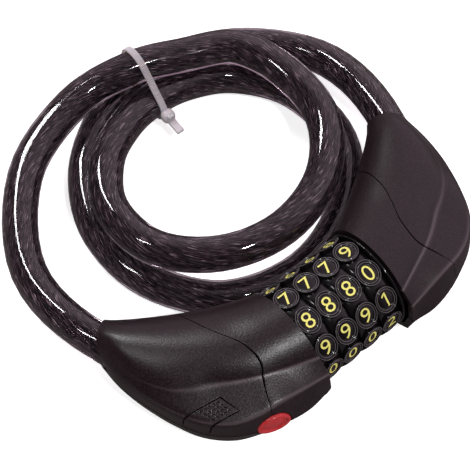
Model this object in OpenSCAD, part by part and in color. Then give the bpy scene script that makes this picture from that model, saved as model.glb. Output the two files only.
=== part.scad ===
// Combination cable lock: a crescent head of two housings round four number dials,
// with a sleeved steel cable coiled from one housing to the other.
// Units are millimetres. The dial axis runs along X, the coil lies towards +Y, up is +Z.

/* [Dials] */
// distance from one dial to the next
dial_pitch = 8.3; // [7:0.1:10]
// width of one dial
dial_width = 8.1; // [6.8:0.1:9.8]
// radius of a dial between its bezels
dial_r = 16.0; // [14:0.1:18]
// rise of a bezel's flat top over the dial
bezel_rise = 0.9; // [0.5:0.1:1.4]

/* [Locking] */
// outer radius of the slotted tube that the dials turn on
tube_r = 7.0; // [6:0.1:8]
// radius of the bolt
bolt_r = 5.0; // [4:0.1:5.5]
// reach of a bolt tooth from the axis
tooth_r = 8.6; // [8:0.1:9]
// outer radius of a clutch cam
cam_r = 10.0; // [9.5:0.1:11]
// clearance of a running fit, on the radius
run_fit = 0.07; // [0.02:0.01:0.1]

/* [Housing] */
// height of the dial axis over the table
axis_h = 18; // [17.6:0.1:19]
// wall of the covers
wall = 2.2; // [1.6:0.1:3]
// gap along the S-shaped seam
seam_gap = 0.2; // [0.1:0.05:0.4]
// gap along the parting line
part_gap = 0.15; // [0.1:0.05:0.4]
// diameter of the push button
button_d = 11.2; // [8:0.1:12]

/* [Cable] */
// outer diameter of the sleeve
cable_d = 12; // [10:0.5:15]
// diameter of the wire rope in it
rope_d = 8; // [6:0.5:10]
// length of the sleeve inside a mouth
gland_len = 12; // [8:0.5:16]

/* [Hidden] */

// the head spans these in Y about the dial axis; the origin sits under its middle
head_y = [-21.45, 43.13];
axis_y = -(head_y[0] + head_y[1])/2;
// half length of the dial pack, width of the ring that closes it, and the faces of the two halves
stack = 2*dial_pitch;
bezel_h = dial_r + bezel_rise;
ring_w = 1.3;
face_gap = 0.2;
face_lock = stack + face_gap;
ring_x = [stack + face_gap/2, stack + face_gap/2 + ring_w];
face_plug = ring_x[1] + face_gap;
eps = 0.01;

// mouth of the cable: centre, direction out of the housing, outward side
mouth = [62.2, 38.7, 0];
mouth_a = 17;
m_dir = [sin(mouth_a), cos(mouth_a), 0];
m_out = [cos(mouth_a), -sin(mouth_a), 0];
lip_r = cable_d/2 + 0.9;
bore_r = cable_d/2 + 0.3;

// ---------------------------------------------------------------- small helpers
function unit(v) = v/norm(v);
function spline(a, b, c, d, t) =
  0.5*(2*b + (c - a)*t + (2*a - 5*b + 4*c - d)*t*t + (3*b - a - 3*c + d)*t*t*t);
function clampi(i, n) = min(max(i, 0), n);
// value of a rail at station v, run on straight past its two ends
function rail(p, v) =
  let (n = len(p) - 1, i = min(floor(v), n - 1), t = v - i,
       a = i > 0 ? p[i - 1] : 2*p[0] - p[1],
       d = i < n - 1 ? p[i + 2] : 2*p[n] - p[n - 1])
  spline(a, p[i], p[i + 1], d, t);
module head() { translate([0, axis_y, axis_h]) children(); }
module along_x(x0, x1, r, fn = 48) {
  translate([x0, 0, 0]) rotate([0, 90, 0]) cylinder(r = r, h = x1 - x0, $fn = fn);
}
// frame of a mouth: +Z runs out along the cable
module at_mouth() { translate(mouth) rotate([-90, 0, -mouth_a]) children(); }

// ---------------------------------------------------------------- housing surface
// a point of the lip: round the cable, set back by s along it
function lip(a, s, r) = mouth - s*m_dir + r*cos(a)*m_out + [0, 0, r*sin(a)];
// rails of the plug half from the dial end to the mouth, heights over the dial axis
r_outer = [[18.2, -20.5, 0], [26, -21.5, 0], [34, -20.3, 0], [42, -17.5, 0], [50, -13.3, 0],
  [57, -6.3, 0], [61.6, 3, 0], [64.8, 13, 0], [66.5, 20, 0], [66.9, 25, 0], lip(0, 8, lip_r)];
r_edge = [[18.2, -19, 8], [26, -17.9, 9], [34.5, -16.8, 9.8], [42.3, -15.4, 8.2], [50, -12.2, 6.8],
  [56.6, -5.6, 6.3], [61.1, 3.4, 5.8], [64.2, 13, 5.2], [65.6, 20.2, 4.7], [66.2, 26, 4.2], lip(35, 5, lip_r)];
r_fold = [[18.2, -14, 11.8], [26, -10.8, 12.1], [33.8, -7.5, 12.2], [40, -4, 11.4], [46.3, 0.5, 10.4],
  [52.3, 4, 9.6], [57.5, 8.4, 8.9], [61.4, 15, 7.9], [63.5, 22, 7.1], [64.6, 29, 6.5], lip(60, 2, lip_r)];
r_top = [[18.2, 0, 18.3], [26, 2, 17.4], [33, 4.5, 16.3], [39, 8.5, 15.5], [45, 13, 14.5],
  [50, 18, 13.5], [54, 23, 12.5], [57.8, 28, 11.4], [60.5, 32, 10.3], [61.7, 35.7, 8.7], lip(90, 0, lip_r)];
r_inner = [[18.2, 18.4, 0], [24, 21.4, 0], [30.5, 24.8, 0], [36, 27.8, 0], [40.5, 30.6, 0],
  [44.1, 33, 0], [47.3, 35.2, 0], [50, 37.1, 0], [52.4, 39, 0], [54.5, 40.8, 0], lip(180, -2, lip_r)];
n_st = len(r_outer) - 1;
// wall at each station, thinner towards the lip
r_wall = [wall, wall, wall, wall, wall, wall, wall, 1.9, 1.5, 1, 0.6];

// steps of a section: outer wall, sloping facet, shoulder and back
n_a = 2;
n_b = 2;
n_c = 4;
n_d = 8;
n_u = n_a + n_b + n_c + n_d;
// point j of the section at station v of the half whose dial end is at x = face;
// flat is how much the back is drawn in, where the cable's lowest turn passes
function section(v, j, face, flat = 0) =
  let (o = rail(r_outer, v), e = rail(r_edge, v), f = rail(r_fold, v), t = rail(r_top, v),
       i = rail(r_inner, v), k = max(0, 1 - v)*(face - r_outer[0][0]),
       p = j <= n_a ? o + (e - o)*j/n_a
         : j <= n_a + n_b ? e + (f - e)*(j - n_a)/n_b
         : j <= n_a + n_b + n_c ?
           let (s = (j - n_a - n_b)/n_c,
                c = [t[0] + 0.6*(f[0] - t[0]), t[1] + 0.6*(f[1] - t[1]), t[2]])
           (1 - s)*(1 - s)*f + 2*s*(1 - s)*c + s*s*t
         : let (a = 90*(j - n_a - n_b - n_c)/n_d, q = 1 - flat*sin(2*a))
           [t[0] + (i[0] - t[0])*sin(a)*q, t[1] + (i[1] - t[1])*sin(a)*q, t[2]*cos(a)*q])
  [p[0] + k, p[1], p[2]];

// the seam's station on each step of the section
seam = [2.6, 2.52, 2.45, 2.25, 2.0, 1.83, 1.78, 1.84, 2.0, 2.5, 2.95, 3.22, 3.45, 3.6, 3.7, 3.77, 3.8];
seam_w = seam_gap/8;

// outer points of a shell piece between the stations va and vb of each step
function skin(va, vb, n, face, down) =
  [for (i = [0:n]) [for (j = [0:n_u])
    let (v = va[j] + (vb[j] - va[j])*i/n,
         p = section(v, j, face, down ? 0.06*min(1, max(0, 4 - v/2)) : 0))
    down ? [p[0], p[1], -max(p[2] + 0.06*max(0, p[2] - 11), part_gap)] : p]];
// the same points moved in by the wall, square to the surface
function inset(g, va, vb, n, down) =
  let (s = down ? -1 : 1)
  [for (i = [0:n]) [for (j = [0:n_u])
    let (v = va[j] + (vb[j] - va[j])*i/n,
         du = g[i][clampi(j + 1, n_u)] - g[i][clampi(j - 1, n_u)],
         dv = g[clampi(i + 1, n)][j] - g[clampi(i - 1, n)][j],
         c = cross(du, dv),
         h = (j == 0 || j == n_u) ? [c[0], c[1], 0] : v <= eps ? [0, c[1], c[2]] : c,
         q = v >= n_st - eps ? h - (h*m_dir)*m_dir : h,
         w = lookup(v, [for (k = [0:n_st]) [k, r_wall[k]]]))
    g[i][j] + s*w*unit(q)]];
// closed shell from its outer and inner points
module shell_mesh(g, h, n, flip) {
  m = n_u + 1;
  o = m*(n + 1);
  outer = [for (i = [0:n - 1], j = [0:n_u - 1]) each
    [[i*m + j, i*m + j + 1, (i + 1)*m + j], [i*m + j + 1, (i + 1)*m + j + 1, (i + 1)*m + j]]];
  inner = [for (f = outer) [o + f[0], o + f[2], o + f[1]]];
  side = [for (i = [0:n - 1]) each
    [[i*m, (i + 1)*m, o + i*m], [(i + 1)*m, o + (i + 1)*m, o + i*m],
     [i*m + n_u, o + i*m + n_u, (i + 1)*m + n_u],
     [(i + 1)*m + n_u, o + i*m + n_u, o + (i + 1)*m + n_u]]];
  ends = [for (j = [0:n_u - 1]) each
    [[j, o + j, j + 1], [j + 1, o + j, o + j + 1],
     [n*m + j, n*m + j + 1, o + n*m + j], [n*m + j + 1, o + n*m + j + 1, o + n*m + j]]];
  faces = concat(outer, inner, side, ends);
  polyhedron(points = concat([for (r = g) each r], [for (r = h) each r]),
    faces = flip ? [for (f = faces) [f[0], f[2], f[1]]] : faces);
}
module shell(va, vb, n, face, down) {
  g = skin(va, vb, n, face, down);
  shell_mesh(g, inset(g, va, vb, n, down), n, down);
}
zero = [for (j = [0:n_u]) 0];
full = [for (j = [0:n_u]) n_st];
seam_a = seam;
seam_b = [for (s = seam) s + seam_w];

// bore for the cable through the lip
module cable_bore() {
  at_mouth() translate([0, 0, -gland_len - 12]) cylinder(r = bore_r, h = gland_len + 20, $fn = 32);
}

// screw places: into the dial cover and into the cable cover
screw_at = [[30.5, 9], [49.5, 12.5]];
screw_top = [9.5, 9];
screw_head = [-13.2, -10.5];
boss_top = [14.6, 12];
boss_low = [-14.6, -12];
web_h = 6;
module upper_boss(k) {
  translate([screw_at[k][0], screw_at[k][1], web_h + 0.1]) difference() {
    cylinder(r = 3.2, h = boss_top[k] - web_h, $fn = 24);
    translate([0, 0, -1]) cylinder(r = 1.45, h = screw_top[k] - web_h + 1.4, $fn = 20);
  }
}
module lower_boss(k) {
  translate([screw_at[k][0], screw_at[k][1], boss_low[k]])
    cylinder(r = 3.8, h = -boss_low[k] - web_h - 0.1, $fn = 24);
}
module lower_hole(k) {
  translate([screw_at[k][0], screw_at[k][1], -20]) {
    cylinder(r = 1.6, h = 20, $fn = 20);
    cylinder(r = 3, h = 20 + screw_head[k], $fn = 24);
  }
}

module dial_cover(face) {
  union() {
    shell(zero, seam_a, 7, face, false);
    upper_boss(0);
  }
}
module cable_cover() {
  difference() {
    union() {
      shell(seam_b, full, 16, face_plug, false);
      upper_boss(1);
    }
    cable_bore();
  }
}
module bottom_shell(face) {
  difference() {
    union() {
      shell(zero, full, 20, face, true);
      lower_boss(0);
      lower_boss(1);
    }
    translate([0, -50, -axis_h - 5]) cube([100, 100, 5]);
    lower_hole(0);
    lower_hole(1);
    cable_bore();
  }
}

// ---------------------------------------------------------------- cores
ferrule_len = 14;
ferrule_r = 5.5;
pin_r = 1.5;
pin_s = gland_len + 7;
// reach of the dial tube into the lock half, and both ends of the bolt
tube_out = face_lock + 9.7;
bolt_x = [-stack - 3.9, face_plug + 8.8];
waist_r = 4.6;
core_r = 11.6;
web = [[24, -8], [32, -6], [39, -1], [46, 4.5], [52, 12], [57, 23], [57.6, 28.5], [52, 31],
  [46, 28.2], [40, 24], [33, 19.5], [24, 14.5]];
module core_body(x0, x1) {
  difference() {
    union() {
      along_x(x0, x1, core_r, 64);
      along_x(x0, x0 + 2, core_r + 2.4, 64);
      translate([0, 0, -web_h]) linear_extrude(2*web_h) polygon(web);
      at_mouth() translate([0, 0, -gland_len - ferrule_len - 3])
        cylinder(r = 6.7, h = ferrule_len + 3, $fn = 48);
    }
    at_mouth() {
      translate([0, 0, -gland_len - ferrule_len - 1])
        cylinder(r = ferrule_r + 0.05, h = ferrule_len + 1, $fn = 48);
      translate([0, 0, -gland_len]) cylinder(r = bore_r, h = gland_len, $fn = 48);
    }
    at_mouth() translate([-waist_r - pin_r, 0, -pin_s]) rotate([90, 0, 0])
      translate([0, 0, -10]) cylinder(r = pin_r + 0.03, h = 20, $fn = 24);
    for (k = [0, 1]) translate([screw_at[k][0], screw_at[k][1], 0]) {
      translate([0, 0, -10]) cylinder(r = 1.7, h = 20, $fn = 24);
      for (z = [web_h, -web_h - 20]) translate([0, 0, z]) cylinder(r = 4.1, h = 20, $fn = 32);
    }
  }
}
module lock_core() {
  color("silver") head() mirror([1, 0, 0]) difference() {
    core_body(face_lock + 0.3, tube_out + 1);
    along_x(face_lock - 1, tube_out + 0.1, tube_r + 0.04, 64);
  }
}
module plug_core() {
  color("silver") head() difference() {
    core_body(face_plug + 0.3, bolt_x[1] + 2);
    along_x(face_plug - 1, bolt_x[1] + 0.1, bolt_r + 0.04, 64);
  }
}
module ferrule() {
  at_mouth() translate([0, 0, -gland_len - ferrule_len]) difference() {
    cylinder(r = ferrule_r, h = ferrule_len - 0.1, $fn = 48);
    translate([0, 0, 1]) cylinder(r = rope_d/2 + 0.3, h = ferrule_len, $fn = 48);
    translate([0, 0, gland_len + ferrule_len - pin_s - pin_r - 0.1]) difference() {
      cylinder(r = ferrule_r + 1, h = 2*pin_r + 0.2, $fn = 48);
      translate([0, 0, -1]) cylinder(r = waist_r, h = 2*pin_r + 3, $fn = 48);
    }
  }
}
module ferrule_pin() {
  at_mouth() translate([-waist_r - pin_r - 0.02, 0, -pin_s]) rotate([90, 0, 0])
    translate([0, 0, 0.1 - web_h]) cylinder(r = pin_r, h = 2*web_h - 0.2, $fn = 24);
}
module screws() {
  for (k = [0, 1]) translate([screw_at[k][0], screw_at[k][1], screw_head[k] - 1.8]) difference() {
    union() {
      cylinder(r = 2.7, h = 1.8 - eps, $fn = 32);
      translate([0, 0, 1]) cylinder(r = 1.4, h = screw_top[k] - screw_head[k] + 0.6, $fn = 24);
    }
    translate([0, 0, -1]) for (a = [0, 90]) rotate([0, 0, a]) cube([3, 0.7, 3.6], center = true);
  }
}
module lock_ferrule() { color("gainsboro") head() mirror([1, 0, 0]) ferrule(); }
module plug_ferrule() { color("gainsboro") head() ferrule(); }
module lock_ferrule_pin() { color("gray") head() mirror([1, 0, 0]) ferrule_pin(); }
module plug_ferrule_pin() { color("gray") head() ferrule_pin(); }
module lock_screws() { color("gray") head() mirror([1, 0, 0]) screws(); }
module plug_screws() { color("gray") head() screws(); }

// ---------------------------------------------------------------- dials and lock work
function dial_x(n) = (n - 2.5)*dial_pitch;
slot_w = 3.4;
tube_in = bolt_r + run_fit;
tube_x = [-tube_out, ring_x[1]];
cam_in = tube_r + run_fit;
tooth_w = 3;
tooth_l = 1.6;
tooth_dx = -3.4;
relief = 9;
groove_x = [1.2, 3.4];
groove_r = tube_r + 0.4;
ball_r = 0.8;
ball_c = tube_r - 0.7;
module dial_tube() {
  color("silver") head() difference() {
    along_x(tube_x[0], tube_x[1], tube_r, 64);
    along_x(tube_x[0] + 2, tube_x[1] + 1, tube_in, 64);
    translate([-stack - 0.9, -slot_w/2, 0]) cube([2*stack + 8, slot_w, 12]);
    for (n = [1:4]) translate([dial_x(n) + (groove_x[0] + groove_x[1])/2, 0, -tube_r - 1])
      cylinder(r = ball_r + 0.05, h = tube_r + 1 - ball_c + ball_r + 0.05, $fn = 20);
  }
}
module dial_end_ring() {
  color("black") head() difference() {
    union() {
      along_x(ring_x[0], ring_x[1] - 0.5, dial_r + 1.4, 96);
      along_x(ring_x[1] - 0.6, ring_x[1], dial_r + 0.8, 96);
    }
    along_x(0, 2*stack, tube_r + 0.02, 64);
    translate([stack - 5, -slot_w/2, 0]) cube([stack, slot_w, relief]);
  }
}
module dial_detents() {
  color("silver") head() for (n = [1:4])
    translate([dial_x(n) + (groove_x[0] + groove_x[1])/2, 0, -ball_c]) sphere(r = ball_r, $fn = 20);
}
module cam(n) {
  color("goldenrod") head() translate([dial_x(n), 0, 0]) difference() {
    along_x(-dial_width/2, dial_width/2, cam_r, 64);
    along_x(-dial_width, dial_width, cam_in, 64);
    along_x(-dial_width, tooth_dx + tooth_l + 0.6, relief, 64);
    along_x(groove_x[0], groove_x[1], groove_r, 64);
    translate([-10, -slot_w/2 - 0.2, 0]) cube([20, slot_w + 0.4, tooth_r + 0.1]);
    for (k = [0:9]) rotate([36*k, 0, 0]) translate([0, 0, -tube_r])
      along_x(groove_x[0] + 0.3, groove_x[1] - 0.3, ball_r + 0.1, 20);
  }
}
// outline of a window, longer round the dial than along it
function oval(a, b, n) = [for (i = [0:n - 1]) [a*cos(360*i/n), b*sin(360*i/n)]];
module dial(n) {
  hw = dial_width/2;
  color("dimgray") head() translate([dial_x(n), 0, 0]) difference() {
    union() {
      rotate([0, 90, 0]) rotate_extrude($fn = 80)
        polygon([[cam_r + 0.02, -hw], [dial_r - 1, -hw], [dial_r - 0.25, -hw + 0.8], [dial_r, -hw + 1.8],
          [dial_r, hw - 1.8], [dial_r - 0.25, hw - 0.8], [dial_r - 1, hw], [cam_r + 0.02, hw]]);
      for (k = [0:9]) rotate([-59 + 36*k, 0, 0]) translate([0, 0, dial_r - 2])
        linear_extrude(bezel_h - dial_r + 2) polygon(oval(hw - 0.05, 4.55, 20));
    }
    for (k = [0:9]) rotate([-59 + 36*k, 0, 0]) translate([0, 0, bezel_h - 0.5])
      linear_extrude(3) polygon(oval(hw - 0.85, 3.75, 20));
  }
}
module lock_bolt() {
  color("silver") head() difference() {
    union() {
      along_x(bolt_x[0], bolt_x[1], bolt_r, 64);
      for (n = [1:4]) translate([dial_x(n) + tooth_dx, -tooth_w/2, 3]) cube([tooth_l, tooth_w, tooth_r - 3]);
    }
    translate([bolt_x[0] - 0.1, 0, 0]) rotate([0, 90, 0]) difference() {
      cylinder(r = 8, h = 1.5, $fn = 64);
      cylinder(r1 = bolt_r - 1.2, r2 = bolt_r + 0.3, h = 1.5, $fn = 64);
    }
  }
}
for (n = [1:4]) {
  cam(n);
  dial(n);
}

// ---------------------------------------------------------------- light
// frame of the button: +Z points out of the outer wall of the lock half
btn = [-38.2, -17.9, -0.3];
btn_turn = -19.3;
btn_r = button_d/2;
btn_back = -4.6;
board_top = -7.5;
module at_button() { translate(btn) rotate([90, 0, btn_turn]) children(); }
module button_hole() { at_button() translate([0, 0, -8]) cylinder(r = btn_r + 0.3, h = 12, $fn = 48); }
module light_button() {
  color("red") head() at_button() {
    difference() {
      translate([0, 0, -3.6]) cylinder(r = btn_r, h = 3.7, $fn = 48);
      translate([0, 0, -5]) cylinder(r = 3, h = 3.5, $fn = 32);
    }
    translate([0, 0, 0.1]) difference() {
      cylinder(r1 = btn_r, r2 = btn_r - 0.5, h = 0.4, $fn = 48);
      cylinder(r = btn_r - 1.3, h = 1, $fn = 48);
    }
    translate([0, 0, -10.4]) intersection() {
      sphere(r = 10.9, $fn = 64);
      translate([0, 0, 10.4]) cylinder(r = btn_r - 2, h = 1, $fn = 48);
    }
    difference() {
      translate([0, 0, btn_back]) cylinder(r = btn_r + 0.9, h = 1.1, $fn = 48);
      translate([0, 0, btn_back - 1]) cylinder(r = 3, h = 5, $fn = 32);
    }
  }
}
// the spring under it, from the board to the button's flange
spring_wire = 0.5;
spring_r = 4.2;
spring_z = [board_top + 0.27, btn_back - 0.27];
spring_turns = 2.5;
spring_line = [for (k = [0:24*spring_turns])
  [spring_r*cos(15*k), spring_r*sin(15*k), spring_z[0] + (spring_z[1] - spring_z[0])*k/24/spring_turns]];
echo("gap between the spring's turns", (spring_z[1] - spring_z[0])/spring_turns - spring_wire);
module button_spring() { color("silver") head() at_button() rope(spring_line, spring_wire/2); }
module light_led() {
  color("lightyellow") head() at_button() {
    translate([0, 0, board_top]) cylinder(r = 1.5, h = 0.8, $fn = 24);
    intersection() {
      translate([0, 0, board_top + 0.7]) sphere(r = 1.45, $fn = 24);
      translate([0, 0, board_top + 0.1]) cylinder(r = 2, h = 4, $fn = 24);
    }
  }
}
module light_board() {
  color("green") head() at_button() translate([-7, -4.8, board_top - 1]) cube([12, 9.6, 1]);
}
cell_at = [-49.6, -2.2];
cell_r = 4.7;
module light_cells() {
  color("silver") head() translate([cell_at[0], cell_at[1], 0]) {
    translate([0, 0, -3.1]) cylinder(r = cell_r, h = 2.6, $fn = 40);
    translate([0, 0, -0.45]) cylinder(r = cell_r, h = 2.6, $fn = 40);
  }
}
module cell_contact() {
  color("gold") head() translate([cell_at[0], cell_at[1], 2.2]) {
    cylinder(r = 3, h = 0.4, $fn = 32);
    rotate([0, 0, -38]) translate([0, -1, 0]) cube([8.9, 2, 0.4]);
  }
}

// ---------------------------------------------------------------- battery door
// sides run along the slide, the inner end slants
door_dir = [-0.97, 0.243];
door_in = [[-47.7, -3.5], [-45.8, -10.2]];
function door_out(g) = let (s = unit([-door_dir[1], door_dir[0]]))
  [door_in[0] - g*s + (-g)*door_dir, door_in[1] + g*s - g*door_dir,
   door_in[1] + g*s + 22*door_dir, door_in[0] - g*s + 22*door_dir];
module door_block(g, z0) {
  translate([0, 0, z0]) linear_extrude(20) polygon(door_out(g));
}

// ---------------------------------------------------------------- covers
module lock_bottom_shell() {
  color("dimgray") head() difference() {
    union() {
      mirror([1, 0, 0]) bottom_shell(face_lock);
      translate([cell_at[0], cell_at[1], -5]) cylinder(r = cell_r + 1, h = 3.4, $fn = 40);
      translate([cell_at[0], cell_at[1], -7.8]) cylinder(r = 2.5, h = 3.5, $fn = 24);
      at_button() translate([-5, -9.6, board_top - 1.1]) cube([8, 4.75, 1.2]);
    }
    translate([cell_at[0], cell_at[1], -3.15]) cylinder(r = cell_r + 0.15, h = 5, $fn = 40);
    button_hole();
  }
}
module lock_dial_cover() {
  color("dimgray") head() difference() {
    mirror([1, 0, 0]) dial_cover(face_lock);
    button_hole();
  }
}
module lock_cable_cover() {
  color("dimgray") head() difference() {
    mirror([1, 0, 0]) cable_cover();
    button_hole();
    door_block(0.12, 0.6);
  }
}
// the tongue runs in under the cover and holds the door's inner end
tongue_z = 4.4;
module door_tongue() {
  s = unit([-door_dir[1], door_dir[0]]);
  a = door_in[0] + 1.2*s;
  b = door_in[1] - 1.2*s;
  translate([0, 0, tongue_z]) {
    linear_extrude(0.8) polygon([a - 2.5*door_dir, b - 2.5*door_dir, b + 5*door_dir, a + 5*door_dir]);
    linear_extrude(2.5) polygon([a + 1.5*s + 1*door_dir, b - 1.5*s + 1*door_dir, b - 1.5*s + 4*door_dir,
      a + 1.5*s + 4*door_dir]);
  }
}
module battery_door() {
  color("dimgray") head() union() {
    intersection() {
      mirror([1, 0, 0]) shell(seam_b, full, 16, face_plug, false);
      door_block(0, 0.75);
    }
    door_tongue();
  }
}
module plug_bottom_shell() { color("dimgray") head() bottom_shell(face_plug); }
module plug_dial_cover() { color("dimgray") head() dial_cover(face_plug); }
module plug_cable_cover() { color("dimgray") head() cable_cover(); }

// ---------------------------------------------------------------- cable
// stations every 30 degrees round the coil's middle, clockwise from the left:
// distance from the middle and height of the centre line over the table
coil_mid = [8, 74];
coil_r = [71.6, 58.9, 46, 36.5, 33.5, 38.2, 39.6, 42.8, 43.7, 43.6, 42.9, 41.8, 37.4, 31.1, 26.9, 26.5,
  29.7, 36, 43.3, 49.5, 52.2, 53.5, 52.5, 48, 43.2, 39.3, 37.4, 38.9, 42.9, 51, 59.8];
coil_z = [14.5, 14.8, 18, 21.5, 22, 22.5, 22, 21.4, 21.4, 20.8, 19.8, 18.7, 17.5, 16.3, 14.6, 12.2, 9.7,
  7.6, 6.6, 6.1, 6.1, 6.1, 6.1, 6.1, 6.1, 6.2, 7.1, 7.9, 7.3, 6.7, 9.8];
n_coil = len(coil_r) - 1;
function station(k) = [coil_mid[0] - coil_r[k]*cos(30*k), coil_mid[1] + coil_r[k]*sin(30*k),
  coil_z[k] - axis_h];
m_left = [-mouth[0], mouth[1], 0];
d_left = [-m_dir[0], m_dir[1], 0];
first = station(0);
last = station(n_coil);
route = concat([first - 2*norm(first - m_left)*d_left, m_left], [for (k = [0:n_coil]) station(k)],
  [mouth, last - 2*norm(last - mouth)*m_dir]);
steps = 2;
line = concat([m_left - gland_len*d_left],
  [for (k = [1:len(route) - 3], s = [0:steps - 1])
    spline(route[k - 1], route[k], route[k + 1], route[k + 2], s/steps)],
  [mouth, mouth - gland_len*m_dir]);
sides = 6;
function heading(p, i) = let (n = len(p) - 1) unit(p[min(i + 1, n)] - p[max(i - 1, 0)]);
function ring(p, i, r) =
  let (t = i <= 1 ? unit(p[1] - p[0]) : i >= len(p) - 2 ? unit(p[len(p) - 1] - p[len(p) - 2]) : heading(p, i),
       s = unit(cross(t, [0, 0, 1])), u = cross(s, t))
  [for (k = [0:sides - 1]) p[i] + r*(cos(360*k/sides)*s + sin(360*k/sides)*u)];
function wall_faces(n, o, f) = [for (i = [0:n - 2], k = [0:sides - 1])
  let (a = o + i*sides + k, b = o + i*sides + (k + 1)%sides, c = a + sides, d = b + sides)
  each f ? [[a, b, c], [b, d, c]] : [[a, c, b], [b, c, d]]];
module rope(p, r) {
  n = len(p);
  polyhedron(points = [for (i = [0:n - 1]) each ring(p, i, r)],
    faces = concat(wall_faces(n, 0, true),
      [for (k = [1:sides - 2]) [0, k + 1, k]],
      [for (k = [1:sides - 2]) [(n - 1)*sides, (n - 1)*sides + k, (n - 1)*sides + k + 1]]));
}
module hose(p, r, ri) {
  n = len(p);
  o = n*sides;
  e = (n - 1)*sides;
  polyhedron(points = concat([for (i = [0:n - 1]) each ring(p, i, r)], [for (i = [0:n - 1]) each ring(p, i, ri)]),
    faces = concat(wall_faces(n, 0, true), wall_faces(n, o, false),
      [for (k = [0:sides - 1]) let (b = (k + 1)%sides) each
        [[k, o + k, b], [b, o + k, o + b], [e + k, e + b, o + e + k], [e + b, o + e + b, o + e + k]]]));
}
rope_line = concat([m_left - (gland_len + ferrule_len - 2)*d_left, m_left - gland_len*d_left],
  [for (i = [1:len(line) - 2]) line[i]],
  [mouth - gland_len*m_dir, mouth - (gland_len + ferrule_len - 2)*m_dir]);
module cable_sleeve() { color("black", 0.6) head() hose(line, cable_d/2, rope_d/2 + 0.6); }
module wire_rope() { color("silver") head() rope(rope_line, rope_d/2); }

// least gap between two turns and the free length, from the points of the line
fine = [for (i = [1:len(line) - 3], s = [0:3]) line[i] + (line[i + 1] - line[i])*s/4];
gaps = [for (i = [0:len(fine) - 1]) min([for (j = [0:len(fine) - 1])
  abs(i - j) < 30 ? 999 : norm(fine[i] - fine[j])])];
length = [for (i = [1:len(line) - 3]) norm(line[i + 1] - line[i])];
function sum(a, i = 0) = i < len(a) ? a[i] + sum(a, i + 1) : 0;
echo("least gap between turns", min(gaps) - cable_d, "free length", sum(length));

// ---------------------------------------------------------------- cable tie
// it stands square to the turns where they cross its plane
tie_k = 3.12;
tie_w = 2.4;
tie_t = 1.2;
tie_in = cable_d/2 + 0.25;
function on_route(k) = let (i = floor(k))
  spline(route[i + 1], route[i + 2], route[i + 3], route[i + 4], k - i);
tie_c = [for (k = [tie_k, tie_k + 12, tie_k + 24]) on_route(k)];
tie_turn = atan2(tie_c[0][1] - coil_mid[1], tie_c[0][0] - coil_mid[0]);
function tie_rz(p) = [(p[0] - coil_mid[0])*cos(tie_turn) + (p[1] - coil_mid[1])*sin(tie_turn), p[2]];
module tie_outline(r) { hull() for (p = tie_c) translate(tie_rz(p)) circle(r = r, $fn = 30); }
module cable_tie() {
  c = tie_rz(tie_c[1]);
  color("white") head() translate([coil_mid[0], coil_mid[1], 0]) rotate([0, 0, tie_turn])
    rotate([90, 0, 0]) {
      translate([0, 0, -tie_w/2]) linear_extrude(tie_w) difference() {
        tie_outline(tie_in + tie_t);
        tie_outline(tie_in);
      }
      translate([c[0] - tie_in - 2.7, c[1] + 1, 0]) cube([4.6, 4.6, 4.4], center = true);
      translate([c[0] - tie_in - 8.6, c[1] + 0.4, 0]) cube([8, tie_t, tie_w], center = true);
    }
}

lock_core();
dial_tube();
dial_end_ring();
dial_detents();
lock_bolt();
plug_core();
wire_rope();
cable_sleeve();
lock_ferrule();
plug_ferrule();
lock_ferrule_pin();
plug_ferrule_pin();
light_cells();
cell_contact();
light_board();
light_led();
button_spring();
light_button();
lock_bottom_shell();
lock_dial_cover();
lock_cable_cover();
battery_door();
plug_bottom_shell();
plug_dial_cover();
plug_cable_cover();
lock_screws();
plug_screws();
cable_tie();
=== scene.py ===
import math

import bmesh
import bpy
import numpy as np
from mathutils import Matrix, Vector


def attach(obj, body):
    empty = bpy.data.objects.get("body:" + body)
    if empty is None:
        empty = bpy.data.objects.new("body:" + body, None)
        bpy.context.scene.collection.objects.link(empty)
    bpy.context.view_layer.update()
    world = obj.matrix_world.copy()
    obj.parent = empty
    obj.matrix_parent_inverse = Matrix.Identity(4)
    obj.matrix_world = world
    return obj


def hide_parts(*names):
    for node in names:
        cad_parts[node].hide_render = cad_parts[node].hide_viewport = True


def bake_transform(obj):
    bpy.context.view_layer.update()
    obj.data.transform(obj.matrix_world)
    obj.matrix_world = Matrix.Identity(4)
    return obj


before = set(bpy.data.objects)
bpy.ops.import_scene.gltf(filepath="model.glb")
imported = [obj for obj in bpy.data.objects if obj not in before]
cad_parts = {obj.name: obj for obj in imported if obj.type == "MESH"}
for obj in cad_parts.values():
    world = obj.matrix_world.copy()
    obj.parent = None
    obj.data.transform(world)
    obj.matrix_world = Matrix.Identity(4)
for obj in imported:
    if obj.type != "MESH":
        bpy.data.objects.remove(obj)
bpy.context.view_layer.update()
scene = bpy.context.scene

# ---------------------------------------------------------------- camera
# A short telephoto half a metre from the lock, looking down on its outer side,
# aimed so that the head's dials sit low and right of the frame's middle.

# sizes here and below are in millimetres from the middle of the dials' axis, which lies at AXIS_AT
MM = 0.001
AXIS_AT = np.array([0.0, -10.84, 18.0])
VIEW_TURN, VIEW_RISE = math.radians(40.4), math.radians(62.4)
VIEW_SHIFT, VIEW_DISTANCE = (29.5, -23.9), 510.0
VIEW_FOCAL, VIEW_WIDTH, SENSOR = 1601.0, 470, 36

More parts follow.
